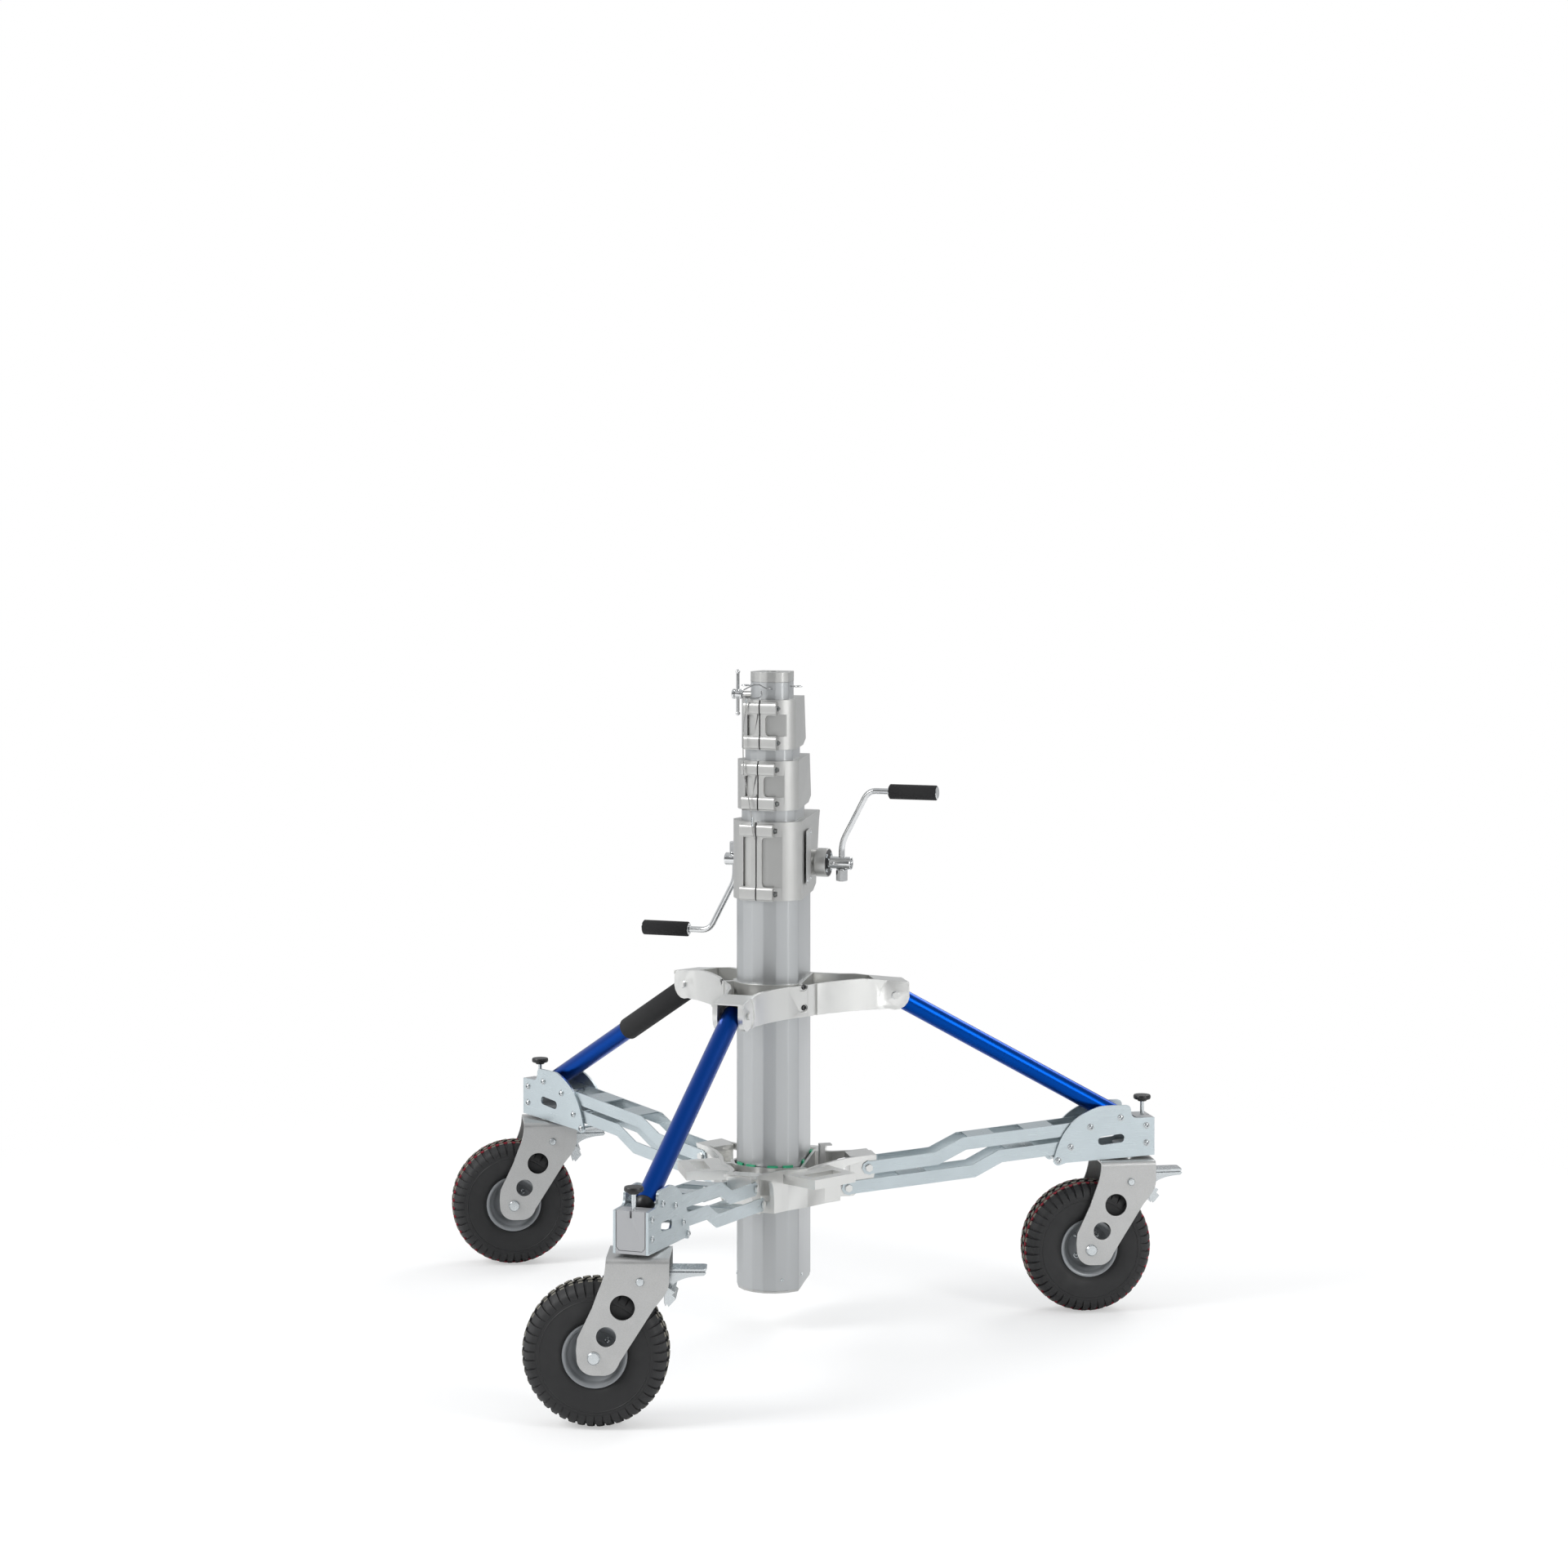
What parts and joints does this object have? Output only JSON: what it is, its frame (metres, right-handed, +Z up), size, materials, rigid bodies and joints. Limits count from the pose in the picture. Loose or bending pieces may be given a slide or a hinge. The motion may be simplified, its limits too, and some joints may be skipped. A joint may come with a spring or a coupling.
{
  "type": "roller stand for lights",
  "caption": "Crank-up roller stand for lights: telescopic mast with twin cranks on a folding tripod base with pneumatic castors and braced legs.",
  "frame": {"origin": "centre of the footprint of the whole stand, on the floor under the tyres", "axes": "+Z up along the mast; the front leg and the mast's round front face -Y, the winch stands behind the mast towards +Y, and the cranks lie along X"},
  "size_m": [1.5546, 1.2452, 1.2901],
  "materials": {
    "anodised": "satin clear anodised extrusion",
    "casting": "satin die casting, light grey",
    "zinc": "bright zinc plated sheet and bolts",
    "blue_tube": "deep blue satin anodised tube",
    "galvanised": "galvanised sheet with fine grain",
    "rim_paint": "grey satin paint",
    "block_paint": "grey satin paint",
    "tyre_rubber": "matt black rubber",
    "foam": "matt black foam",
    "chromed": "polished chrome",
    "black_plastic": "satin black moulding",
    "green_plastic": "green moulded glide plastic"
  },
  "bodies": {
    "column": {"column_outer": "anodised", "column_foot": "casting", "upper_bracket_front": "casting", "upper_bracket_right": "casting", "upper_bracket_left": "casting", "collar_1": "casting", "winch_cover": "casting"},
    "base_slider": {"lower_bracket": "casting", "glide_pads": "green_plastic"},
    "latch": {"release_latch": "galvanised"},
    "upper_link_front": {"upper_link_front": "zinc"},
    "lower_link_front": {"lower_link_front": "zinc"},
    "end_box_front": {"end_plate_a_front": "zinc", "end_plate_b_front": "zinc", "end_block_front": "block_paint"},
    "strut_front": {"strut_front": "blue_tube"},
    "swivel_lock_front": {"lock_knob_front": "black_plastic"},
    "fork_front": {"fork_front": "galvanised"},
    "wheel_front": {"rim_front": "rim_paint", "tyre_front": "tyre_rubber"},
    "brake_front": {"brake_front": "galvanised"},
    "upper_link_right": {"upper_link_right": "zinc"},
    "lower_link_right": {"lower_link_right": "zinc"},
    "end_box_right": {"end_plate_a_right": "zinc", "end_plate_b_right": "zinc", "end_block_right": "block_paint"},
    "strut_right": {"strut_right": "blue_tube"},
    "swivel_lock_right": {"lock_knob_right": "black_plastic"},
    "fork_right": {"fork_right": "galvanised"},
    "wheel_right": {"rim_right": "rim_paint", "tyre_right": "tyre_rubber"},
    "brake_right": {"brake_right": "galvanised"},
    "upper_link_left": {"upper_link_left": "zinc"},
    "lower_link_left": {"lower_link_left": "zinc"},
    "end_box_left": {"end_plate_a_left": "zinc", "end_plate_b_left": "zinc", "end_block_left": "block_paint"},
    "strut_left": {"strut_left": "blue_tube", "strut_foam_grip": "foam"},
    "swivel_lock_left": {"lock_knob_left": "black_plastic"},
    "fork_left": {"fork_left": "galvanised"},
    "wheel_left": {"rim_left": "rim_paint", "tyre_left": "tyre_rubber"},
    "brake_left": {"brake_left": "galvanised"},
    "crank": {"crank_shaft": "chromed", "crank_arm_right": "chromed", "crank_arm_left": "chromed"},
    "grip_right": {"crank_grip_right": "foam"},
    "grip_left": {"crank_grip_left": "foam"},
    "mast_2": {"section_2": "anodised", "collar_2": "casting"},
    "mast_3": {"section_3": "anodised", "collar_3": "casting"},
    "mast_4": {"section_4": "anodised", "head_socket": "casting", "safety_clip": "chromed", "lanyard": "chromed"},
    "clamp": {"clamp_screw": "chromed"},
    "clamp_bar": {"tommy_bar": "chromed"}
  },
  "joints": [
    {"name": "base_slide", "type": "slide", "parent": "column", "child": "base_slider", "axis": [0, 0, 1], "range_m": [0, 0.24985]},
    {"name": "latch_pivot", "type": "hinge", "parent": "base_slider", "child": "latch", "pos_m": [0.12679, 0.24, 0.2865], "axis": [-0.5, 0.866, 0], "range_deg": [0, 12], "stiffness_Nm_per_rad": 0.6, "springref_deg": -5.73},
    {"name": "upper_link_front_pivot", "type": "hinge", "parent": "base_slider", "child": "upper_link_front", "pos_m": [0.04192, 0.0037, 0.3081], "axis": [1, 0, 0], "range_deg": [0, 83.2]},
    {"name": "lower_link_front_pivot", "type": "hinge", "parent": "base_slider", "child": "lower_link_front", "pos_m": [0.04192, 0.0449, 0.2698], "axis": [1, 0, 0], "range_deg": [0, 83.2]},
    {"name": "end_box_front_pivot", "type": "hinge", "parent": "upper_link_front", "child": "end_box_front", "pos_m": [0.04192, -0.4492, 0.3717], "axis": [1, 0, 0], "range_deg": [-83.2, 0]},
    {"name": "strut_front_pivot", "type": "hinge", "parent": "end_box_front", "child": "strut_front", "pos_m": [0.04192, -0.5121, 0.3879], "axis": [1, 0, 0], "range_deg": [0, 46.9]},
    {"name": "swivel_lock_front_press", "type": "slide", "parent": "end_box_front", "child": "swivel_lock_front", "axis": [0, 0, 1], "range_m": [-0.01, 0]},
    {"name": "castor_front_swivel", "type": "hinge", "parent": "end_box_front", "child": "fork_front", "pos_m": [0.04192, -0.5288, 0.3075], "axis": [0, 0, 1], "continuous": true},
    {"name": "wheel_front_roll", "type": "hinge", "parent": "fork_front", "child": "wheel_front", "pos_m": [-0.03458, -0.55219, 0.13], "axis": [-0.2924, 0.9563, 0], "continuous": true},
    {"name": "brake_front_lever", "type": "hinge", "parent": "fork_front", "child": "brake_front", "pos_m": [0.04288, -0.5285, 0.264], "axis": [-0.2924, 0.9563, 0], "range_deg": [0, 15]},
    {"name": "upper_link_right_pivot", "type": "hinge", "parent": "base_slider", "child": "upper_link_right", "pos_m": [0.20413, 0.28465, 0.3081], "axis": [-0.5, 0.866, 0], "range_deg": [0, 83.2]},
    {"name": "lower_link_right_pivot", "type": "hinge", "parent": "base_slider", "child": "lower_link_right", "pos_m": [0.16845, 0.26405, 0.2698], "axis": [-0.5, 0.866, 0], "range_deg": [0, 83.2]},
    {"name": "end_box_right_pivot", "type": "hinge", "parent": "upper_link_right", "child": "end_box_right", "pos_m": [0.59635, 0.5111, 0.3717], "axis": [-0.5, 0.866, 0], "range_deg": [-83.2, 0]},
    {"name": "strut_right_pivot", "type": "hinge", "parent": "end_box_right", "child": "strut_right", "pos_m": [0.65082, 0.54255, 0.3879], "axis": [-0.5, 0.866, 0], "range_deg": [0, 46.9]},
    {"name": "swivel_lock_right_press", "type": "slide", "parent": "end_box_right", "child": "swivel_lock_right", "axis": [0, 0, 1], "range_m": [-0.01, 0]},
    {"name": "castor_right_swivel", "type": "hinge", "parent": "end_box_right", "child": "fork_right", "pos_m": [0.66529, 0.5509, 0.3075], "axis": [0, 0, 1], "continuous": true},
    {"name": "wheel_right_roll", "type": "hinge", "parent": "fork_right", "child": "wheel_right", "pos_m": [0.59401, 0.51458, 0.13], "axis": [-0.454, 0.891, 0], "continuous": true},
    {"name": "brake_right_lever", "type": "hinge", "parent": "fork_right", "child": "brake_right", "pos_m": [0.66618, 0.55136, 0.264], "axis": [-0.454, 0.891, 0], "range_deg": [0, 15]},
    {"name": "upper_link_left_pivot", "type": "hinge", "parent": "base_slider", "child": "upper_link_left", "pos_m": [-0.12028, 0.28465, 0.3081], "axis": [-0.5, -0.866, 0], "range_deg": [0, 83.2]},
    {"name": "lower_link_left_pivot", "type": "hinge", "parent": "base_slider", "child": "lower_link_left", "pos_m": [-0.0846, 0.26405, 0.2698], "axis": [-0.5, -0.866, 0], "range_deg": [0, 83.2]},
    {"name": "end_box_left_pivot", "type": "hinge", "parent": "upper_link_left", "child": "end_box_left", "pos_m": [-0.51251, 0.5111, 0.3717], "axis": [-0.5, -0.866, 0], "range_deg": [-83.2, 0]},
    {"name": "strut_left_pivot", "type": "hinge", "parent": "end_box_left", "child": "strut_left", "pos_m": [-0.56698, 0.54255, 0.3879], "axis": [-0.5, -0.866, 0], "range_deg": [0, 46.9]},
    {"name": "swivel_lock_left_press", "type": "slide", "parent": "end_box_left", "child": "swivel_lock_left", "axis": [0, 0, 1], "range_m": [-0.01, 0]},
    {"name": "castor_left_swivel", "type": "hinge", "parent": "end_box_left", "child": "fork_left", "pos_m": [-0.58144, 0.5509, 0.3075], "axis": [0, 0, 1], "continuous": true},
    {"name": "wheel_left_roll", "type": "hinge", "parent": "fork_left", "child": "wheel_left", "pos_m": [-0.65335, 0.51583, 0.13], "axis": [-0.4384, 0.8988, 0], "continuous": true},
    {"name": "brake_left_lever", "type": "hinge", "parent": "fork_left", "child": "brake_left", "pos_m": [-0.58054, 0.55134, 0.264], "axis": [-0.4384, 0.8988, 0], "range_deg": [0, 15]},
    {"name": "crank_turn", "type": "hinge", "parent": "column", "child": "crank", "pos_m": [0.04192, 0.285, 0.9039], "axis": [1, 0, 0], "range_deg": [0, 12960]},
    {"name": "grip_right_turn", "type": "hinge", "parent": "crank", "child": "grip_right", "pos_m": [0.30292, 0.285, 1.0489], "axis": [1, 0, 0], "continuous": true},
    {"name": "grip_left_turn", "type": "hinge", "parent": "crank", "child": "grip_left", "pos_m": [-0.21908, 0.285, 0.7589], "axis": [1, 0, 0], "continuous": true},
    {"name": "section_2_slide", "type": "slide", "parent": "column", "child": "mast_2", "axis": [0, 0, 1], "range_m": [0, 0.7201]},
    {"name": "section_3_slide", "type": "slide", "parent": "mast_2", "child": "mast_3", "axis": [0, 0, 1], "range_m": [0, 0.7201]},
    {"name": "section_4_slide", "type": "slide", "parent": "mast_3", "child": "mast_4", "axis": [0, 0, 1], "range_m": [0, 0.7201]},
    {"name": "clamp_screw_turn", "type": "hinge", "parent": "mast_4", "child": "clamp", "pos_m": [-0.02308, 0.191, 1.2415], "axis": [1, 0, 0], "range_deg": [0, 720]},
    {"name": "clamp_bar_slide", "type": "slide", "parent": "clamp", "child": "clamp_bar", "axis": [0, 0, 1], "range_m": [-0.028, 0.023]}
  ],
  "couplings": [
    {"joint": "upper_link_front_pivot", "follows": "base_slide", "rad_per_m": 5.798},
    {"joint": "lower_link_front_pivot", "follows": "base_slide", "rad_per_m": 5.798},
    {"joint": "end_box_front_pivot", "follows": "base_slide", "rad_per_m": -5.798},
    {"joint": "strut_front_pivot", "follows": "base_slide", "rad_per_m": 3.2652},
    {"joint": "upper_link_right_pivot", "follows": "base_slide", "rad_per_m": 5.798},
    {"joint": "lower_link_right_pivot", "follows": "base_slide", "rad_per_m": 5.798},
    {"joint": "end_box_right_pivot", "follows": "base_slide", "rad_per_m": -5.798},
    {"joint": "strut_right_pivot", "follows": "base_slide", "rad_per_m": 3.2652},
    {"joint": "upper_link_left_pivot", "follows": "base_slide", "rad_per_m": 5.798},
    {"joint": "lower_link_left_pivot", "follows": "base_slide", "rad_per_m": 5.798},
    {"joint": "end_box_left_pivot", "follows": "base_slide", "rad_per_m": -5.798},
    {"joint": "strut_left_pivot", "follows": "base_slide", "rad_per_m": 3.2652},
    {"joint": "section_2_slide", "follows": "crank_turn", "m_per_rad": 0.0031831},
    {"joint": "section_3_slide", "follows": "crank_turn", "m_per_rad": 0.0031831},
    {"joint": "section_4_slide", "follows": "crank_turn", "m_per_rad": 0.0031831}
  ]
}
